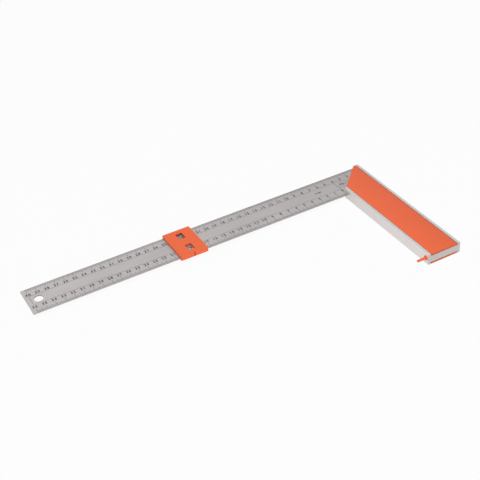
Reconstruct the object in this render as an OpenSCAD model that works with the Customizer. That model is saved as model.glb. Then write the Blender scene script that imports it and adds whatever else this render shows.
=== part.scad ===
// Carpenter square with a sliding marker and a support pin.
// Origin: the inner corner of the square, on the blade's underside, where the corner of the work lies.
// +X runs along the blade to its tip, +Y along the stock, +Z up through the graduated face.

/* [Blade] */
// Reach of the blade past the stock's inner face
blade_reach = 365; // [220:5:600]
// Width of the blade
blade_w = 41; // [34:1:60]
// Thickness of the blade
blade_t = 1; // [0.8:0.1:2]
// Diameter of the hanging hole
hang_d = 9.5; // [5:0.5:12]
// Distance from the blade's tip to the centre of the hanging hole
hang_in = 12.5; // [10:0.5:25]

/* [Stock] */
// Width of the stock, from its outer face to its inner face
stock_w = 40; // [36:1:60]
// Thickness of the stock
stock_t = 12.5; // [11.5:0.5:18]
// Length of the stock past the inner corner
stock_len = 141.5; // [90:0.5:220]
// Distance from the inner corner to the start of the mitre, along the inner face
mitre_in = 4.5; // [1:0.5:8]
// Width of the two rails beside each cover
rail_w = 3.4; // [2.5:0.1:6]
// Depth of the channels that hold the covers
channel_d = 2.4; // [1.4:0.1:2.6]
// Radius of the stock's long edges
edge_radius = 1; // [0.4:0.1:1.5]

/* [Covers] */
// How far each cover lies below the rails
cover_drop = 0.1; // [0:0.05:0.3]
// Gap between a cover and the rail beside it
cover_gap = 0.1; // [0.05:0.05:0.4]
// Width of the flat tip at a cover's mitred end
cover_nose = 3.35; // [0.6:0.05:5]
// Radius of each cover's corners at the stock's far end
cover_corner = 0.8; // [0.4:0.1:3]
// Bevel along the long edges and the mitre of each cover
cover_bevel = 0.6; // [0.2:0.1:1]

/* [Rivets] */
// Diameter of the rivets' shanks
rivet_d = 5; // [3:0.5:6]
// Diameter of the rivets' countersunk heads
rivet_head_d = 7.5; // [6.5:0.5:8]

/* [Support pin] */
// Diameter of the support pin
pin_d = 2.6; // [2:0.2:3.2]
// How far the pin stands out of the inner face when it is pulled out
pin_out = 11; // [10.5:0.5:14]
// How far the pin slides in from there
pin_travel = 9.5; // [4:0.5:9.5]
// Distance from the stock's end to the pin's axis
pin_in = 3.7; // [3.5:0.1:12]
// Length of the bush in the stock
bush_len = 8; // [5:0.5:12]
// Wall of the bush round the pin
bush_wall = 0.85; // [0.6:0.05:1.2]
// Width of the bush's collar beyond its wall
collar_w = 0.5; // [0.3:0.1:0.6]
// How far the bush's collar stands out of the inner face
collar_out = 0.6; // [0.4:0.1:1]

/* [Sliding marker] */
// Length of the marker along the blade
slider_l = 31.5; // [20:0.5:50]
// Place of the marker's centre along the blade, as a share of the blade's reach
slider_place_share = 0.522; // [0.12:0.002:0.88]
// Wall of the marker at the blade's outer edge
slider_outer_wall = 2; // [1.8:0.1:3.5]
// Wall of the marker at the blade's inner edge
slider_inner_wall = 2.5; // [1.8:0.1:4]
// Wall of the marker above the blade
slider_roof = 2.7; // [1.8:0.1:3.5]
// Wall of the marker below the blade
slider_sole = 1.5; // [1:0.1:3]
// Size of each window along the blade
window_l = 7.2; // [4:0.2:14]
// Size of each window across the blade
window_w = 10; // [5:0.5:11]
// Distance from each side of the marker to its window
window_in = 7.1; // [6:0.1:10]
// Width of the index notches in the marker's sides
notch_w = 0.8; // [0.5:0.1:1.6]
// Depth of the index notches
notch_d = 1.4; // [0.6:0.1:1.6]
// Radius of the marker's corners, seen from above
slider_corner = 1.2; // [0.6:0.1:3]
// Bevel round the marker's top
slider_bevel = 0.5; // [0.2:0.1:1]
// Bevel round the marker's bottom
slider_sole_bevel = 0.9; // [0.4:0.1:1]

/* [Hidden] */
$fn = 64;

// how far every cut runs past the face that it opens
overrun = 2;

// clearances of the fits
slot_fit = 0.03;
rivet_fit = 0.03;
bush_fit = 0.02;
pin_fit = 0.06;
slider_face_fit = 0.1;
slider_side_fit = 0.15;

// heights above the blade's underside: the blade lies at the middle of the stock
base_z = -(stock_t - blade_t) / 2;
floor_z = base_z + channel_d;
roof_z = base_z + stock_t - channel_d;
cover_t = channel_d - cover_drop;
cover_w = stock_w - 2 * (rail_w + cover_gap);

// the mitre ends in a flat tip that takes in the outer rail and the nose of each cover
tip_flat = rail_w + cover_gap + cover_nose;
tip_y = -(stock_w - tip_flat + mitre_in);

// rivets stand at these shares of the stock's width, and of the way from the inner corner line to the mitre
rivet_x_shares = [0.275, 0.725, 0.66];
rivet_y_shares = [0.5, 0.22, 0.643];
function mitre_y(x) = x - mitre_in;
function rivet_place(i) =
    let (x = -stock_w * rivet_x_shares[i])
    [x, mitre_y(x) * rivet_y_shares[i], 0];

// the pin's underside is level with the blade's underside, so both rest on the work
pin_y = stock_len - pin_in;
pin_z = pin_d / 2;
bush_bore_d = pin_d + 2 * pin_fit;
bush_d = bush_bore_d + 2 * bush_wall;
collar_d = bush_d + 2 * collar_w;
collar_seat = bush_wall;
tail_t = 1.5;
tail_d = bush_d - 2 * pin_fit;
tail_gap = 0.1;
bore_spare = 0.5;
bore_depth = bush_len + tail_gap + tail_t + pin_travel + bore_spare;
grip_groove_d = 0.3;
grip_groove_at = 2;

// the marker wraps the blade
slider_w = blade_w + 2 * slider_side_fit + slider_outer_wall + slider_inner_wall;
slider_t = blade_t + 2 * slider_face_fit + slider_roof + slider_sole;
slider_x = blade_reach * slider_place_share;
slider_y = (slider_inner_wall - slider_outer_wall - blade_w) / 2;
slider_z = (blade_t + slider_roof - slider_sole) / 2;
index_line_d = 0.35;
index_line_side = index_line_d * sqrt(2);

STEEL = "silver";
ALUMINIUM = "gainsboro";
ORANGE = "coral";

// a rectangle resting on y = 0 and centred on x: bevel is for its upper corners, low for its lower ones
module bevelled_outline(w, h, bevel, low = 0) {
    polygon([
        [-w / 2 + low, 0], [w / 2 - low, 0], [w / 2, low], [w / 2, h - bevel],
        [w / 2 - bevel, h], [-w / 2 + bevel, h], [-w / 2, h - bevel], [-w / 2, low]
    ]);
}

module rounded_outline(l, w, r) {
    square([l - 2 * r, w], center = true);
    square([l, w - 2 * r], center = true);
    for (x = [-1, 1], y = [-1, 1])
        translate([x * (l / 2 - r), y * (w / 2 - r)]) circle(r);
}

// draws a cross-section of the stock along its whole length, then cuts the mitre and the flat tip
module along_stock() {
    difference() {
        translate([-stock_w / 2, stock_len, 0])
            rotate([90, 0, 0])
                linear_extrude(stock_len - tip_y)
                    children();
        mitre_cut();
    }
}

module mitre_cut() {
    reach = 2 * (stock_w + blade_w);
    translate([0, -mitre_in, base_z - overrun])
        rotate([0, 0, 45])
            translate([-reach, -reach, 0])
                cube([2 * reach, reach, stock_t + 2 * overrun]);
}

// a round form whose axis runs along +X from the stock's inner face, at the support pin
module on_pin_axis() {
    translate([0, pin_y, pin_z]) rotate([0, 90, 0]) children();
}

// one rivet, or with grow the hole that it fills: a shank with a countersunk head at each channel's floor
module rivet_form(grow = 0) {
    shank_r = rivet_d / 2 + grow;
    head_r = rivet_head_d / 2 + grow;
    head_h = head_r - shank_r;
    translate([0, 0, floor_z])
        rotate_extrude()
            polygon([
                [0, 0], [head_r, 0], [shank_r, head_h],
                [shank_r, roof_z - floor_z - head_h], [head_r, roof_z - floor_z], [0, roof_z - floor_z]
            ]);
}

module stock_profile() {
    channel_w = stock_w - 2 * rail_w;
    difference() {
        translate([0, base_z + stock_t / 2]) rounded_outline(stock_w, stock_t, edge_radius);
        translate([-channel_w / 2, roof_z]) square([channel_w, channel_d + overrun]);
        translate([-channel_w / 2, base_z - overrun]) square([channel_w, channel_d + overrun]);
    }
}

// stepped bore for the bush and the pin, with the cone that a drill leaves at its bottom
module pin_bore() {
    bore_r = bush_d / 2 + bush_fit;
    seat_r = collar_d / 2 + bush_fit;
    on_pin_axis()
        rotate_extrude()
            polygon([
                [0, -bore_depth - bore_r / 2], [bore_r, -bore_depth], [bore_r, -collar_seat],
                [seat_r, -collar_seat], [seat_r, overrun], [0, overrun]
            ]);
}

module stock() {
    color(ALUMINIUM)
        difference() {
            along_stock() stock_profile();
            // slot for the blade, open at the mitre, the inner face and the outer face
            translate([-stock_w - overrun, tip_y - overrun, -slot_fit])
                cube([stock_w + 2 * overrun, overrun - tip_y, blade_t + 2 * slot_fit]);
            for (i = [0:len(rivet_x_shares) - 1])
                translate(rivet_place(i)) rivet_form(rivet_fit);
            pin_bore();
        }
}

module blade() {
    color(STEEL)
        difference() {
            translate([-stock_w, -blade_w, 0]) cube([stock_w + blade_reach, blade_w, blade_t]);
            translate([blade_reach - hang_in, -blade_w / 2, -overrun])
                cylinder(h = blade_t + 2 * overrun, d = hang_d);
            for (i = [0:len(rivet_x_shares) - 1])
                translate(rivet_place(i)) rivet_form(rivet_fit);
        }
}

module blade_rivets() {
    color(ALUMINIUM)
        for (i = [0:len(rivet_x_shares) - 1])
            translate(rivet_place(i)) rivet_form();
}

// keeps what a 45-degree bevel along the mitre's upper edge leaves of a cover
module bevelled_mitre() {
    top = roof_z + cover_t;
    low = roof_z - overrun;
    reach = 2 * (stock_w + stock_len);
    translate([0, -mitre_in, 0])
        rotate([90, 0, 135])
            linear_extrude(2 * reach, center = true)
                polygon([
                    [-overrun, low], [reach, low], [reach, top + overrun],
                    [cover_bevel + overrun, top + overrun], [-overrun, top - cover_bevel - overrun]
                ]);
}

// a cover's plate, lying in one channel: its upper edges are bevelled and its far corners are round
module cover_plate() {
    plate_len = stock_len - tip_y;
    intersection() {
        along_stock() translate([0, roof_z]) bevelled_outline(cover_w, cover_t, cover_bevel);
        bevelled_mitre();
        translate([-stock_w / 2, stock_len - plate_len / 2 - overrun, roof_z - overrun])
            linear_extrude(cover_t + 2 * overrun)
                rounded_outline(cover_w, plate_len + 2 * overrun, cover_corner);
    }
}

module top_cover() {
    color(ORANGE) cover_plate();
}

module bottom_cover() {
    color(ORANGE) translate([0, 0, blade_t]) mirror([0, 0, 1]) cover_plate();
}

module pin_bush() {
    collar_r = collar_d / 2;
    collar_bevel = collar_out / 2;
    color(ORANGE)
        on_pin_axis()
            rotate_extrude()
                polygon([
                    [bush_bore_d / 2, -bush_len], [bush_d / 2, -bush_len], [bush_d / 2, -collar_seat],
                    [collar_r, -collar_seat], [collar_r, collar_out - collar_bevel],
                    [collar_r - collar_bevel, collar_out], [bush_bore_d / 2, collar_out]
                ]);
}

// a round-nosed pin with a grip groove, kept in by a tail that meets the bush's inner end
module support_pin() {
    tail_top = -bush_len - tail_gap;
    pin_r = pin_d / 2;
    color(ORANGE)
        on_pin_axis()
            rotate_extrude()
                difference() {
                    union() {
                        translate([0, tail_top - tail_t]) square([tail_d / 2, tail_t]);
                        translate([0, tail_top]) square([pin_r, pin_out - pin_r - tail_top]);
                        intersection() {
                            translate([0, pin_out - pin_r]) circle(pin_r);
                            translate([0, pin_out - pin_r]) square(pin_d);
                        }
                    }
                    translate([pin_r, pin_out - grip_groove_at])
                        rotate(45) square(grip_groove_d * sqrt(2), center = true);
                }
}

// the marker's cross-section for a width, centred on its height
module slider_outline(w) {
    translate([0, -slider_t / 2]) bevelled_outline(w, slider_t, slider_bevel, slider_sole_bevel);
}

module slider_body() {
    intersection() {
        linear_extrude(slider_t + overrun, center = true) rounded_outline(slider_l, slider_w, slider_corner);
        rotate([90, 0, 0]) linear_extrude(slider_w + overrun, center = true) slider_outline(slider_l);
        rotate([90, 0, 90]) linear_extrude(slider_l + overrun, center = true) slider_outline(slider_w);
    }
}

module slider() {
    window_y = slider_w / 2 - window_in - window_w / 2;
    color(ORANGE)
        difference() {
            translate([slider_x, slider_y, slider_z]) slider_body();
            // slot that the blade runs in
            translate([slider_x - slider_l / 2 - overrun, -blade_w - slider_side_fit, -slider_face_fit])
                cube([slider_l + 2 * overrun, blade_w + 2 * slider_side_fit, blade_t + 2 * slider_face_fit]);
            // a window over each row of numbers, and a notch in each side
            translate([slider_x, slider_y, blade_t / 2])
                for (turn = [0, 180])
                    rotate([0, 0, turn]) {
                        translate([-window_l / 2, window_y - window_w / 2, 0])
                            cube([window_l, window_w, slider_t]);
                        translate([0, slider_w / 2, 0])
                            cube([notch_w, 2 * notch_d, slider_t + 2 * overrun], center = true);
                    }
            // fine index line between the outer window and the side
            translate([slider_x, slider_y - slider_w / 2 + window_in / 2, slider_z + slider_t / 2])
                rotate([0, 45, 0])
                    cube([index_line_side, window_in + index_line_d, index_line_side], center = true);
        }
}

stock();
blade();
blade_rivets();
top_cover();
bottom_cover();
pin_bush();
support_pin();
slider();
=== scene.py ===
import math

import bmesh
import bpy
from mathutils import Matrix, Vector


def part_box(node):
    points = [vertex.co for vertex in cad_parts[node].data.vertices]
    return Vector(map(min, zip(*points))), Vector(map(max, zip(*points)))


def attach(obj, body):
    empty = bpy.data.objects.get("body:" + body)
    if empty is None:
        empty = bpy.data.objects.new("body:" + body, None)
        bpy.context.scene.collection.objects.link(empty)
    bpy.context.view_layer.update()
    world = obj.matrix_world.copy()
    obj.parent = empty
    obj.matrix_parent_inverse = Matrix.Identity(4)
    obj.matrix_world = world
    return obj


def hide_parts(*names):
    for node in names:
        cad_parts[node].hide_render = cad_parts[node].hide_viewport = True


# The frame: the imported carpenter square. +X runs along the blade, +Y along the stock, +Z up.
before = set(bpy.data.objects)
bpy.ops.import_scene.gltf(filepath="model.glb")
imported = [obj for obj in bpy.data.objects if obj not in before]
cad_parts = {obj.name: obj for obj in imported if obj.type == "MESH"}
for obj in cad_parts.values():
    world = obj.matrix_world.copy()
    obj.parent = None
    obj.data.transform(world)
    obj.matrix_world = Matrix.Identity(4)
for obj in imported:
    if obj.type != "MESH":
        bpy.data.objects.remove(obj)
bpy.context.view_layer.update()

MM = 0.001
CM = 10 * MM

blade_low, blade_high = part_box("blade")
stock_low, stock_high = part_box("stock")
cover_low, cover_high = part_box("top_cover")
marker_low, marker_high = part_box("slider")
blade_top = blade_high.z
blade_middle_y = (blade_low.y + blade_high.y) / 2
stock_w = stock_high.x - stock_low.x
stock_middle_z = (stock_low.z + stock_high.z) / 2
cover_middle = (cover_low + cover_high) / 2
cover_half_w = (cover_high.x - cover_low.x) / 2
marker_middle = (marker_low + marker_high) / 2
marker_half_l = (marker_high.x - marker_low.x) / 2
marker_half_w = (marker_high.y - marker_low.y) / 2

# The middles of the two arms, as far as they reach past the inner corner
blade_arm_middle = blade_high.x / 2
stock_arm_middle = stock_high.y / 2

scene = bpy.context.scene


# Node maths

class Signal:
    """A value inside a node tree. Arithmetic on it adds Math nodes."""

    def __init__(self, nodes, socket):
        self.nodes = nodes
        self.socket = socket

    def combine(self, operation, first, second):
        return self.nodes.add("Math", {"operation": operation}, {0: first, 1: second})

    def __add__(self, other):
        return self.combine("ADD", self, other)

    def __radd__(self, other):
        return self.combine("ADD", other, self)

    def __sub__(self, other):
        return self.combine("SUBTRACT", self, other)

    def __rsub__(self, other):
        return self.combine("SUBTRACT", other, self)

    def __mul__(self, other):
        return self.combine("MULTIPLY", self, other)

    def __rmul__(self, other):
        return self.combine("MULTIPLY", other, self)

    def __gt__(self, other):
        return self.combine("GREATER_THAN", self, other)

    def __lt__(self, other):
        return self.combine("LESS_THAN", self, other)

    def __or__(self, other):
        return self.combine("MAXIMUM", self, other)

    def __abs__(self):
        return self.nodes.add("Math", {"operation": "ABSOLUTE"}, {0: self})


class Nodes:
    """A tree of shader nodes."""

    def __init__(self, tree):
        self.tree = tree

    def add(self, kind, settings=None, inputs=None, output=0):
        """Adds one node, sets it up, fills its sockets with values or signals, and returns one output."""
        node = self.tree.nodes.new("ShaderNode" + kind)
        for field, value in (settings or {}).items():
            setattr(node, field, value)
        for socket, value in (inputs or {}).items():
            self.feed(node.inputs[socket], value)
        return Signal(self, node.outputs[output])

    def feed(self, socket, value):
        """Gives a socket a signal or a fixed value."""
        if isinstance(value, Signal):
            self.tree.links.new(value.socket, socket)
        else:
            socket.default_value = value

    def outputs(self, signal, names):
        """The named outputs of the node that a signal comes from."""
        return [Signal(self, signal.socket.node.outputs[name]) for name in names]

    def seen_directly(self):
        """1 for rays from the camera, in reflections and through glass."""
        names = ("Is Camera Ray", "Is Glossy Ray", "Is Transmission Ray")
        camera, glossy, through = self.outputs(self.add("LightPath"), names)
        return camera | glossy | through


class Finish(Nodes):
    """A procedural material: a Principled shader and the nodes that vary it."""

    def __init__(self, name, metallic=0.0):
        self.material = bpy.data.materials.new(name)
        self.material.use_nodes = True
        super().__init__(self.material.node_tree)
        self.shader = self.tree.nodes["Principled BSDF"]
        self.shader.inputs["Metallic"].default_value = metallic
        self.place = self.add("TexCoord", output="Object")

    def axes(self):
        """The point's X, Y and Z in metres."""
        return self.outputs(self.add("SeparateXYZ", None, {0: self.place}), "XYZ")

    def noise(self, cells, detail=2.0, rough=0.5):
        """Noise with cells of the given length, width and height in metres."""
        stretched = self.add("Mapping", None, {"Vector": self.place, "Scale": [1 / c for c in cells]})
        return self.add(
            "TexNoise", None, {"Vector": stretched, "Scale": 1.0, "Detail": detail, "Roughness": rough}
        )

    def blend(self, factor, first, second):
        """Mixes two colours."""
        return self.add("Mix", {"data_type": "RGBA"}, {0: factor, 6: first, 7: second}, 2)

    def colour(self, value):
        self.feed(self.shader.inputs["Base Color"], value)

    def roughness(self, value):
        self.feed(self.shader.inputs["Roughness"], value)

    def relief(self, height, depth):
        """Bumps the surface by a height from 0 to 1, times a depth in metres."""
        bump = self.add("Bump", None, {"Strength": 1.0, "Distance": depth, "Height": height})
        self.feed(self.shader.inputs["Normal"], bump)


def tone(red, green, blue):
    return (red, green, blue, 1.0)


def shade(colour, share):
    """A colour made darker or lighter."""
    return tone(*(channel * share for channel in colour[:3]))


# Colours, as linear values

STEEL = tone(0.478, 0.450, 0.448)
STEEL_DARK, STEEL_LIGHT = shade(STEEL, 0.86), shade(STEEL, 1.14)
FAR_EDGE, NEAR_EDGE = shade(STEEL, 0.68), shade(STEEL, 0.90)
# Painted shade on the wall of the hanging hole
HOLE_WALL_SHADE = shade(STEEL, 0.40)

ALUMINIUM = tone(0.808, 0.762, 0.743)
DRAWN_DARK, DRAWN_LIGHT = shade(ALUMINIUM, 0.89), shade(ALUMINIUM, 1.05)
# Saw marks on the cut end, under a darker painted shade
SAWN_SHADE_DARK, SAWN_SHADE_LIGHT = shade(ALUMINIUM, 0.62), shade(ALUMINIUM, 0.68)
# A darker painted shade for the tops and undersides of the rails
RAIL_TOP_SHADE = tone(0.570, 0.570, 0.565)
RAIL_DARK, RAIL_LIGHT = shade(RAIL_TOP_SHADE, 0.94), shade(RAIL_TOP_SHADE, 1.06)

ORANGE = tone(0.830, 0.122, 0.030)
COVER_DEEP, COVER_PALE = shade(ORANGE, 0.81), shade(ORANGE, 1.10)
# Painted shade at the covers' rims and on their cut end
COVER_RIM_SHADE, COVER_END_SHADE = shade(ORANGE, 0.62), shade(ORANGE, 0.78)
# Painted shade in the gap under the covers' cut end and at its corners
GAP_SHADE = shade(ORANGE, 0.30)
# The bush is painted lighter as painted light, and the pin darker as painted shade
BUSH_PAINTED_LIGHT_SHARE, PIN_PAINTED_SHADE_SHARE, PIN_SPREAD = 1.25, 0.92, 0.05
MARKER_DEEP, MARKER_PALE = shade(ORANGE, 0.96), shade(ORANGE, 1.06)
# Painted shade on the marker's bevels and ends
MARKER_BEVEL_SHADE, MARKER_END_SHADE = shade(ORANGE, 0.84), shade(ORANGE, 0.80)
IN_SHADE = shade(ORANGE, 0.10)

ETCHED = tone(0.030, 0.026, 0.025)
ETCHED_DARK, ETCHED_LIGHT = shade(ETCHED, 0.6), shade(ETCHED, 1.6)
WHITE = tone(1.0, 1.0, 1.0)


# Finishes

# How far a mask reaches past the faces that it colours
SKIN, FACE_SKIN, CUT_SKIN = 0.02 * MM, 0.2 * MM, 0.25 * MM
DARK_EDGE_W = 0.4 * MM
HANG_IN, HANG_R = 12.5 * MM, 4.75 * MM
COVER_RIM_W, COVER_CORNER_W = 0.5 * MM, 1.0 * MM
GAP_SHADE_H = 0.6 * MM
WINDOW_L, WINDOW_W, WINDOW_IN = 7.2 * MM, 10.0 * MM, 7.1 * MM
NOTCH_W, NOTCH_D = 0.8 * MM, 1.4 * MM
BEVEL_W = 0.6 * MM

# How far the walls of the marker's windows and notches go towards the colour in the shade
WINDOW_SHADE, OUTER_WINDOW_EXTRA, NOTCH_SHADE = 0.3, 0.4, 0.65

# How fast a painted shade makes a finish lighter along it: steps from its dark to its light shade per metre
BLADE_SHADE_DRIFT, STOCK_SHADE_DRIFT, COVER_SHADE_DRIFT = 1.8, 4.0, 16.0

# What brings the noise of a finish to about the middle of its two shades
BLADE_OFFSET, STOCK_OFFSET, COVER_OFFSET = -0.435, 0.1, 0.35


def brushed_steel():
    """Stainless strip, brushed along its length, with soft cloudy patches and a few hairline scratches.

    Its edges are darker, and painted shade darkens the wall of its hanging hole and darkens it towards the
    stock, so it gets lighter towards the tip.
    """
    steel = Finish("brushed_steel", metallic=0.5)
    x, y, _ = steel.axes()
    streaks = steel.noise((18 * MM, 0.16 * MM, 0.16 * MM), detail=4.0, rough=0.6)
    hairs = steel.noise((45 * MM, 0.5 * MM, 0.5 * MM))
    clouds = steel.noise((60 * MM, 22 * MM, 22 * MM))
    layers = streaks * 0.5 + hairs * 0.25 + clouds
    # A painted shade: darker towards the stock, lighter towards the tip
    light = layers + BLADE_OFFSET + (x - blade_arm_middle) * BLADE_SHADE_DRIFT
    face = steel.blend(light, STEEL_DARK, STEEL_LIGHT)
    # Darker bands along both edges of the strip
    face = steel.blend(y < blade_low.y + DARK_EDGE_W, face, FAR_EDGE)
    face = steel.blend(y > blade_high.y - DARK_EDGE_W, face, NEAR_EDGE)
    # The wall of the hanging hole gets a painted shade
    off_x, off_y = x - (blade_high.x - HANG_IN), y - blade_middle_y
    hole_wall = off_x * off_x + off_y * off_y < (HANG_R + SKIN) ** 2
    steel.colour(steel.blend(hole_wall, face, HOLE_WALL_SHADE))
    steel.roughness(0.30 + clouds * 0.08 + streaks * 0.08)
    steel.relief(streaks + hairs, 0.004 * MM)
    return steel.material


def satin_aluminium():
    """Anodised extrusion: fine draw lines along +Y, and cross marks from the saw on the cut end.

    Painted shade darkens it towards the blade, so it gets lighter towards the cut end. The tops of its
    rails have a darker painted shade of their own, and the cut end has its saw marks under a darker painted
    shade.
    """
    metal = Finish("satin_aluminium", metallic=0.65)
    _, y, z = metal.axes()
    lines = metal.noise((0.12 * MM, 40 * MM, 0.12 * MM), detail=3.0, rough=0.6)
    saw = metal.noise((6 * MM, 0.1 * MM, 0.18 * MM), detail=3.0, rough=0.6)
    clouds = metal.noise((25 * MM, 25 * MM, 25 * MM))
    on_end = y > stock_high.y - FACE_SKIN
    on_rails = (z > stock_high.z - FACE_SKIN) | (z < stock_low.z + FACE_SKIN)
    grain = metal.add("Mix", {"data_type": "FLOAT"}, {0: on_end, 2: lines, 3: saw})
    patches = clouds * 0.5 + grain * 0.5
    # A painted shade: darker towards the blade, lighter towards the cut end
    light = patches * 0.8 + STOCK_OFFSET + (y - stock_arm_middle) * STOCK_SHADE_DRIFT
    drawn = metal.blend(light, DRAWN_DARK, DRAWN_LIGHT)
    rails = metal.blend(patches, RAIL_DARK, RAIL_LIGHT)
    sawn_and_shaded = metal.blend(grain, SAWN_SHADE_DARK, SAWN_SHADE_LIGHT)
    metal.colour(metal.blend(on_end, metal.blend(on_rails, drawn, rails), sawn_and_shaded))
    metal.roughness(0.38 + grain * 0.12)
    metal.relief(grain, 0.005 * MM)
    return metal.material


def moulded_plastic(name, cell, depth):
    """Moulded plastic with a spark-eroded grain.

    Gives the finish, and its light and dark patches from 0 to 1.
    """
    plastic = Finish(name)
    grain = plastic.noise((cell, cell, cell))
    clouds = plastic.noise((16 * MM, 16 * MM, 16 * MM))
    plastic.roughness(0.42 + grain * 0.12)
    plastic.relief(grain, depth)
    return plastic, clouds * 0.7 + grain * 0.3


def cover_orange():
    """The covers: painted shade deepens them towards the outer rail, at the rims and on the cut end.

    At the cut end painted shade darkens a line under them and their corners, where they meet the channel.
    """
    plastic, patches = moulded_plastic("cover_orange", 0.35 * MM, 0.025 * MM)
    x, y, z = plastic.axes()
    from_middle = abs(x - cover_middle.x)
    at_rim = from_middle > cover_half_w - COVER_RIM_W
    at_cut = y > cover_high.y - CUT_SKIN
    at_corner = at_cut * (from_middle > cover_half_w - COVER_CORNER_W)
    at_foot = at_cut * (abs(z - stock_middle_z) < cover_low.z - stock_middle_z + GAP_SHADE_H)
    # A painted shade: deeper towards the outer rail
    light = patches * 0.3 + COVER_OFFSET + (x - cover_middle.x) * COVER_SHADE_DRIFT
    face = plastic.blend(light, COVER_DEEP, COVER_PALE)
    face = plastic.blend(at_rim, face, COVER_RIM_SHADE)
    face = plastic.blend(at_cut, face, COVER_END_SHADE)
    plastic.colour(plastic.blend(at_foot | at_corner, face, GAP_SHADE))
    return plastic.material


def pin_orange(name, share):
    """The pin and its bush, each in its own shade: the bush painted lighter as painted light, the pin
    darker as painted shade.
    """
    plastic, patches = moulded_plastic(name, 0.25 * MM, 0.008 * MM)
    deep, pale = shade(ORANGE, share - PIN_SPREAD), shade(ORANGE, share + PIN_SPREAD)
    plastic.colour(plastic.blend(patches, deep, pale))
    return plastic.material


def marker_orange():
    """The marker: painted shade on its bevels, ends, notches and window walls, darkest in the outer window.
    """
    plastic, patches = moulded_plastic("marker_orange", 0.28 * MM, 0.016 * MM)
    x, y, z = plastic.axes()
    along, across = abs(x - marker_middle.x), abs(y - marker_middle.y)
    window_outer = marker_half_w - WINDOW_IN
    window_inner = window_outer - WINDOW_W
    in_window = (across < window_outer + SKIN) * (across > window_inner - SKIN)
    in_window = in_window * (along < WINDOW_L / 2 + SKIN)
    in_notch = (along < NOTCH_W / 2 + SKIN) * (across > marker_half_w - NOTCH_D - SKIN)
    at_bevel = (across > marker_half_w - BEVEL_W) * (z > marker_high.z - BEVEL_W)
    at_end = along > marker_half_l - SKIN
    window_shade = WINDOW_SHADE + (y < marker_middle.y) * OUTER_WINDOW_EXTRA
    face = plastic.blend(patches, MARKER_DEEP, MARKER_PALE)
    face = plastic.blend(at_bevel, face, MARKER_BEVEL_SHADE)
    face = plastic.blend(at_end, face, MARKER_END_SHADE)
    face = plastic.blend(in_window * window_shade, face, IN_SHADE)
    plastic.colour(plastic.blend(in_notch * NOTCH_SHADE, face, IN_SHADE))
    return plastic.material


def etched_black():
    """Dark oxide in the etched marks, a little uneven."""
    ink = Finish("etched_black")
    specks = ink.noise((0.3 * MM, 0.3 * MM, 0.3 * MM))
    ink.colour(ink.blend(specks, ETCHED_DARK, ETCHED_LIGHT))
    ink.roughness(0.5 + specks * 0.2)
    return ink.material


steel = brushed_steel()
aluminium = satin_aluminium()
orange_cover = cover_orange()
orange_marker = marker_orange()
orange_bush = pin_orange("bush_orange", BUSH_PAINTED_LIGHT_SHARE)
orange_pin = pin_orange("pin_orange", PIN_PAINTED_SHADE_SHARE)
black = etched_black()


# Pieces

SAME_POINT = 0.001 * MM
STOCK_ROUND, BLADE_ROUND, COVER_ROUND = 0.12 * MM, 0.06 * MM, 0.10 * MM
MARKER_ROUND, PIN_ROUND = 0.16 * MM, 0.12 * MM

# Below the first angle two faces become one, over the second their edge is rounded,
# and over the third the shading breaks.
FLAT_ANGLE = math.radians(0.5)
ROUNDED_ANGLE = math.radians(28)
SHARP_ANGLE = math.radians(50)


def piece_of(bm, name, material, body):
    """Makes a piece from a finished bmesh, smooths its shading, and lets it ride on a body."""
    mesh = bpy.data.meshes.new(name)
    bm.to_mesh(mesh)
    bm.free()
    mesh.materials.append(material)
    mesh.shade_smooth()
    mesh.set_sharp_from_angle(angle=SHARP_ANGLE)
    piece = bpy.data.objects.new(name, mesh)
    scene.collection.objects.link(piece)
    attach(piece, body)
    return piece


def finished(node, name, rounding, material, body):
    """Stands for a CAD node: its triangles are merged, and its sharp edges are broken by a small round."""
    bm = bmesh.new()
    bm.from_mesh(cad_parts[node].data)
    bmesh.ops.remove_doubles(bm, verts=bm.verts, dist=SAME_POINT)
    bmesh.ops.dissolve_limit(bm, angle_limit=FLAT_ANGLE, verts=bm.verts, edges=bm.edges)
    sharp = [e for e in bm.edges if e.is_manifold and e.calc_face_angle() > ROUNDED_ANGLE]
    bmesh.ops.bevel(
        bm, geom=sharp, offset=rounding, offset_type="OFFSET", segments=2, profile=0.5,
        affect="EDGES", clamp_overlap=True, material=-1,
    )
    piece = piece_of(bm, name, material, body)
    flat_faces = piece.modifiers.new("flat_faces", "WEIGHTED_NORMAL")
    flat_faces.keep_sharp = True
    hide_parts(node)


finished("stock", "stock_bar", STOCK_ROUND, aluminium, "square")
finished("blade", "blade_strip", BLADE_ROUND, steel, "square")
finished("top_cover", "top_cover_plate", COVER_ROUND, orange_cover, "square")
finished("bottom_cover", "bottom_cover_plate", COVER_ROUND, orange_cover, "square")
finished("slider", "marker_sleeve", MARKER_ROUND, orange_marker, "marker")
finished("pin_bush", "pin_collar", PIN_ROUND, orange_bush, "square")
finished("support_pin", "support_pin_rod", PIN_ROUND, orange_pin, "pin")

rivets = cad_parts["blade_rivets"].data
rivets.materials.clear()
rivets.materials.append(aluminium)


# The etched scale

MARK_RISE = 0.012 * MM
mark_z = blade_top + MARK_RISE / 2

# The inner row counts from X = 0, and the outer row from the stock's outer face. There the outer
# row starts with the tick at 2 mm and the number at 2 cm.
LAST_CM, FIRST_OUTER_CM, LAST_OUTER_CM = 36, 2, 40
FIRST_OUTER_MM = 2
scale_end = LAST_CM * CM
last_tick = 10 * LAST_CM
first_outer_tick = FIRST_OUTER_MM - round(stock_w / MM)

TICK_W, CM_TICK_W = 0.26 * MM, 0.32 * MM
TICK_L, HALF_TICK_L, CM_TICK_L = 3.2 * MM, 4.6 * MM, 7.0 * MM
OUTER_TICK_EXTRA = 0.5 * MM

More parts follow.
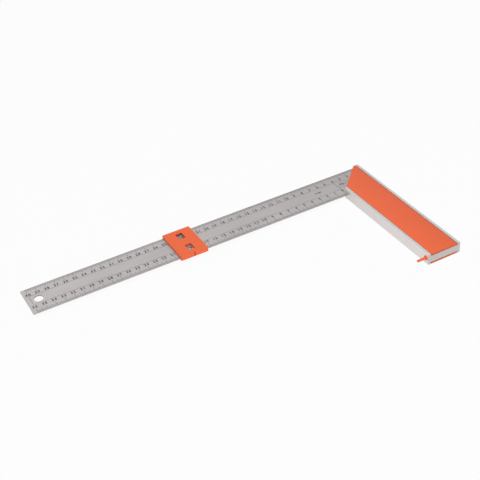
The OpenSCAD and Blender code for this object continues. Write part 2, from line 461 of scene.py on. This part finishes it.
ROW_LINE_W, ZERO_LINE_W = 0.28 * MM, 0.34 * MM
OUTER_LINE_Y, INNER_LINE_Y = -28.2 * MM, -13.2 * MM
ZERO_LINE_EXTRA = 0.8 * MM
ARC_CENTRE = Vector((0.0, -3.0 * MM, 0.0))
ARC_RADII = (15.0 * MM, 26.3 * MM)
ARC_START, ARC_END = math.radians(-90), math.radians(-135)
ARC_STEPS = 18

# A squeeze under 1 makes a character narrower than its font does.
OUTER_ROW_Y, INNER_ROW_Y = -31.0 * MM, -10.1 * MM
DIGIT_H, DIGIT_SQUEEZE, DIGIT_SPACING = 4.0 * MM, 0.86, 1.36
CHARACTER_WEIGHT = 0.04
UNIT_X, UNIT_Y = 25.0 * MM, -20.8 * MM
UNIT_H, UNIT_SQUEEZE, UNIT_SPACING = 2.2 * MM, 1.25, 1.5
ANGLE_X, ANGLE_Y, ANGLE_TURN = -7.5 * MM, -21.2 * MM, math.radians(-22.5)
ANGLE_H, ANGLE_SQUEEZE, ANGLE_SPACING = 3.6 * MM, 1.06, 1.35


def mark(bm, x, y, along, across, turn=None):
    """A thin raised mark, centred on x and y, with its two sizes along X and Y before it is turned."""
    size = Vector((along, across, MARK_RISE))
    bmesh.ops.create_cube(bm, size=1.0, matrix=Matrix.LocRotScale(Vector((x, y, mark_z)), turn, size))


def cross_line(bm, x, y0, y1, width):
    """A line across the blade, from y0 to y1."""
    mark(bm, x, (y0 + y1) / 2, width, abs(y1 - y0))


def arc(bm, centre, radius, start, end, width):
    """A line round a centre, between two angles."""
    sweep = (end - start) / ARC_STEPS
    chord = 2 * (radius + width / 2) * math.sin(sweep / 2)
    for step in range(ARC_STEPS):
        middle = start + sweep * (step + 0.5)
        turn = Matrix.Rotation(middle, 3, "Z").to_quaternion()
        x, y = centre.x + radius * math.cos(middle), centre.y + radius * math.sin(middle)
        mark(bm, x, y, width, chord, turn)


def characters(bm, words, x, y, height, squeeze=DIGIT_SQUEEZE, spacing=DIGIT_SPACING, turn=0.0):
    """Upright characters for a reader who has the tip on the left, centred on x and y."""
    curve = bpy.data.curves.new("characters", "FONT")
    curve.body = words
    curve.extrude = 1.0
    curve.offset = CHARACTER_WEIGHT
    curve.space_character = spacing
    curve.resolution_u = 4
    holder = bpy.data.objects.new("characters", curve)
    mesh = bpy.data.meshes.new_from_object(holder)
    corners = [v.co for v in mesh.vertices]
    low = Vector([min(c[axis] for c in corners) for axis in range(3)])
    high = Vector([max(c[axis] for c in corners) for axis in range(3)])
    scale = height / (high.y - low.y)
    mesh.transform(Matrix.Translation(-(low + high) / 2))
    mesh.transform(Matrix.Diagonal((scale * squeeze, scale, MARK_RISE / 2, 1.0)))
    mesh.transform(Matrix.Rotation(math.pi + turn, 4, "Z"))
    mesh.transform(Matrix.Translation((x, y, mark_z)))
    bm.from_mesh(mesh)
    bpy.data.objects.remove(holder)
    bpy.data.curves.remove(curve)
    bpy.data.meshes.remove(mesh)


def tick_length(step):
    """A millimetre's tick is longer at each half and each whole centimetre."""
    if step % 10 == 0:
        return CM_TICK_L
    return HALF_TICK_L if step % 5 == 0 else TICK_L


def tick_width(step):
    return TICK_W if step % 10 else CM_TICK_W


def scale_ticks():
    """Both rows of ticks, the inner along the near edge and the outer along the far edge."""
    ticks = bmesh.new()
    for step in range(last_tick + 1):
        cross_line(ticks, step * MM, blade_high.y, blade_high.y - tick_length(step), tick_width(step))
    for step in range(first_outer_tick, last_tick + 1):
        inner_end = blade_low.y + tick_length(step) + (OUTER_TICK_EXTRA if step % 5 else 0.0)
        cross_line(ticks, step * MM, blade_low.y, inner_end, tick_width(step))
    piece_of(ticks, "scale_ticks", black, "square")


def scale_lines():
    """The lines along both rows of numbers, the lines that close them, and the arcs in the corner."""
    lines = bmesh.new()
    for y in (OUTER_LINE_Y, INNER_LINE_Y):
        mark(lines, scale_end / 2, y, scale_end, ROW_LINE_W)
    zero_start, zero_end = OUTER_LINE_Y - ZERO_LINE_EXTRA, INNER_LINE_Y + ZERO_LINE_EXTRA
    cross_line(lines, 0.0, zero_start, zero_end, ZERO_LINE_W)
    cross_line(lines, scale_end, OUTER_LINE_Y, INNER_LINE_Y, TICK_W)
    for radius in ARC_RADII:
        arc(lines, ARC_CENTRE, radius, ARC_START, ARC_END, ROW_LINE_W)
    piece_of(lines, "scale_lines", black, "square")


def scale_numbers():
    numbers = bmesh.new()
    for count in range(LAST_CM + 1):
        characters(numbers, str(count), count * CM, INNER_ROW_Y, DIGIT_H)
    for count in range(FIRST_OUTER_CM, LAST_OUTER_CM + 1):
        characters(numbers, str(count), count * CM - stock_w, OUTER_ROW_Y, DIGIT_H)
    characters(numbers, "cm", UNIT_X, UNIT_Y, UNIT_H, UNIT_SQUEEZE, UNIT_SPACING)
    piece_of(numbers, "scale_numbers", black, "square")


def angle_mark():
    angle = bmesh.new()
    characters(angle, "45°", ANGLE_X, ANGLE_Y, ANGLE_H, ANGLE_SQUEEZE, ANGLE_SPACING, ANGLE_TURN)
    piece_of(angle, "angle_mark", black, "square")


scale_ticks()
scale_lines()
scale_numbers()
angle_mark()


# Floor, light and camera

FLOOR_SIZE = 8.0
FLOOR_MIDDLE = (0.15, 0.05)
FLOOR_GAP = 0.02 * MM
FLOOR_SHOWN_WHITE = 0.94
FLOOR_COLOUR = tone(0.70, 0.70, 0.70)
WORLD_STRENGTH = 0.40
LAMP_AIM = Vector((0.15, 0.0, 0.0))
LAMP_DISTANCE = 4.0

# The photograph's view, fitted to the marks of the scale
CAMERA_AIM = Vector((139.895, 6.754, 1.0)) * MM
CAMERA_DISTANCE = 1023.21 * MM
CAMERA_AZIMUTH, CAMERA_ELEVATION = math.radians(153.2698), math.radians(36.2924)
CAMERA_ROLL = math.radians(-4.3569)
LENS, SENSOR_W = 73.549, 36.0


def floor_finish():
    """Shows near white, keeps the shadow, and can't be seen from below."""
    material = bpy.data.materials.new("pale_floor")
    material.use_nodes = True
    nodes = Nodes(material.node_tree)
    nodes.tree.nodes.remove(nodes.tree.nodes["Principled BSDF"])
    diffuse = nodes.add("BsdfDiffuse", None, {"Color": FLOOR_COLOUR})
    white = nodes.add("Emission", None, {"Color": WHITE})
    share = nodes.seen_directly() * FLOOR_SHOWN_WHITE
    shown = nodes.add("MixShader", None, {0: share, 1: diffuse, 2: white})
    below = nodes.add("NewGeometry", output="Backfacing")
    clear = nodes.add("BsdfTransparent")
    faced = nodes.add("MixShader", None, {0: below, 1: shown, 2: clear})
    nodes.feed(nodes.tree.nodes["Material Output"].inputs["Surface"], faced)
    return material


def pale_floor():
    bm = bmesh.new()
    bmesh.ops.create_grid(bm, x_segments=1, y_segments=1, size=FLOOR_SIZE / 2)
    bmesh.ops.translate(bm, verts=bm.verts, vec=(*FLOOR_MIDDLE, stock_low.z - FLOOR_GAP))
    mesh = bpy.data.meshes.new("floor")
    bm.to_mesh(mesh)
    bm.free()
    mesh.materials.append(floor_finish())
    floor = bpy.data.objects.new("floor", mesh)
    scene.collection.objects.link(floor)


def white_world():
    """Lights the object softly, and shows as white."""
    world = bpy.data.worlds.new("studio")
    world.use_nodes = True
    scene.world = world
    nodes = Nodes(world.node_tree)
    background = nodes.tree.nodes["Background"]
    background.inputs["Color"].default_value = WHITE
    strength = nodes.add(
        "MapRange", None, {"Value": nodes.seen_directly(), "To Min": WORLD_STRENGTH, "To Max": 1.0}
    )
    nodes.feed(background.inputs["Strength"], strength)


def softbox(name, direction, size, energy):
    """A square lamp that looks at the blade, near its middle, from a direction."""
    lamp = bpy.data.lights.new(name, "AREA")
    lamp.shape = "SQUARE"
    lamp.size = size
    lamp.energy = energy
    holder = bpy.data.objects.new(name, lamp)
    scene.collection.objects.link(holder)
    away = Vector(direction).normalized()
    holder.location = LAMP_AIM + away * LAMP_DISTANCE
    holder.rotation_euler = away.to_track_quat("Z", "Y").to_euler()


def photo_camera():
    """Looks down on the square from beyond its tip, on the stock's side of the blade, with a small roll."""
    back = Vector((
        math.sin(CAMERA_AZIMUTH) * math.cos(CAMERA_ELEVATION),
        -math.cos(CAMERA_AZIMUTH) * math.cos(CAMERA_ELEVATION),
        math.sin(CAMERA_ELEVATION),
    ))
    lens = bpy.data.cameras.new("camera")
    lens.lens = LENS
    lens.sensor_width = SENSOR_W
    lens.clip_start = CM
    camera = bpy.data.objects.new("camera", lens)
    scene.collection.objects.link(camera)
    camera.rotation_mode = "QUATERNION"
    camera.location = CAMERA_AIM + back * CAMERA_DISTANCE
    camera.rotation_quaternion = (
        (-back).to_track_quat("-Z", "Y") @ Matrix.Rotation(CAMERA_ROLL, 3, "Z").to_quaternion()
    )
    scene.camera = camera


pale_floor()
white_world()
softbox("overhead", direction=(0.25, 0.45, 1.0), size=2.4, energy=101.0)
softbox("front", direction=(-0.1, 1.0, 0.12), size=1.6, energy=51.0)
photo_camera()
scene.view_settings.view_transform = "Standard"
